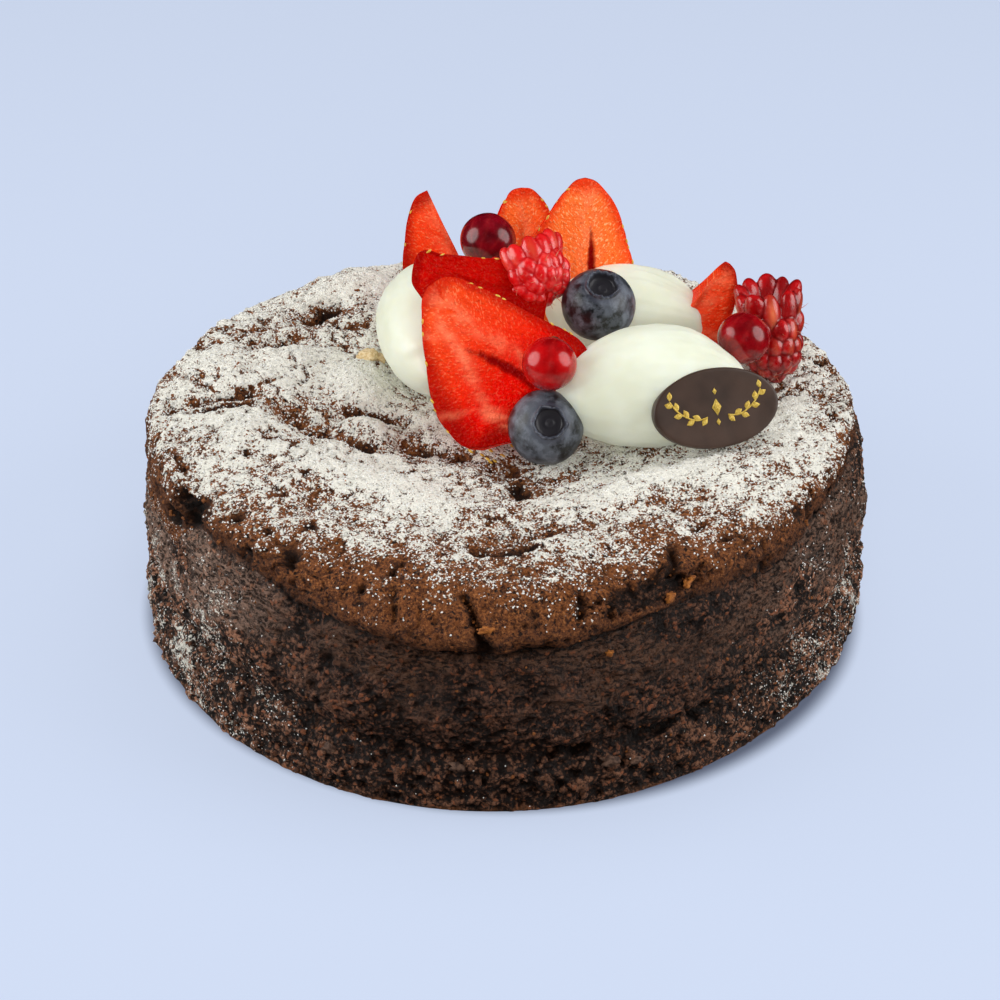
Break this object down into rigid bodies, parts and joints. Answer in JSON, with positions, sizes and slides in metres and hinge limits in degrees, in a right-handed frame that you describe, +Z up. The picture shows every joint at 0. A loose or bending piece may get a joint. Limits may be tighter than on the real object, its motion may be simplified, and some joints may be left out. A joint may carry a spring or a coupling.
{
  "type": "chocolate cake",
  "caption": "round uncut chocolate cake with a sunken cracked top dusted with sugar, cream, strawberries, berries and a small oval chocolate plaque",
  "frame": {"origin": "centre of the cake's flat underside, on the surface that it stands on", "axes": "+Z up, -Y towards the side that the picture shows, +X to that side's right"},
  "size_m": [0.1537, 0.1527, 0.079],
  "materials": {
    "cake_crumb": "dark baked crumb with a browned crust and white sugar dust",
    "cream": "smooth moist ivory cream",
    "strawberry": "moist, orange-red cut flesh and dark red skin",
    "raspberry": "moist with fine hairs",
    "currant": "glossy, slightly clear",
    "blueberry": "dark blue skin with a pale bloom",
    "chocolate": "satin dark chocolate with a gold ornament"
  },
  "bodies": {
    "root": {"cake": "cake_crumb", "cream_front_right": "cream", "cream_left": "cream", "cream_back_right": "cream", "strawberry_front": "strawberry", "strawberry_back_right": "strawberry", "strawberry_back_middle": "strawberry", "strawberry_back_left": "strawberry", "strawberry_lying": "strawberry", "strawberry_right": "strawberry", "raspberry_middle": "raspberry", "raspberry_right": "raspberry", "currant_front": "currant", "currant_back": "currant", "currant_right": "currant", "blueberry_low": "blueberry", "blueberry_high": "blueberry", "plaque": "chocolate"}
  },
  "joints": []
}
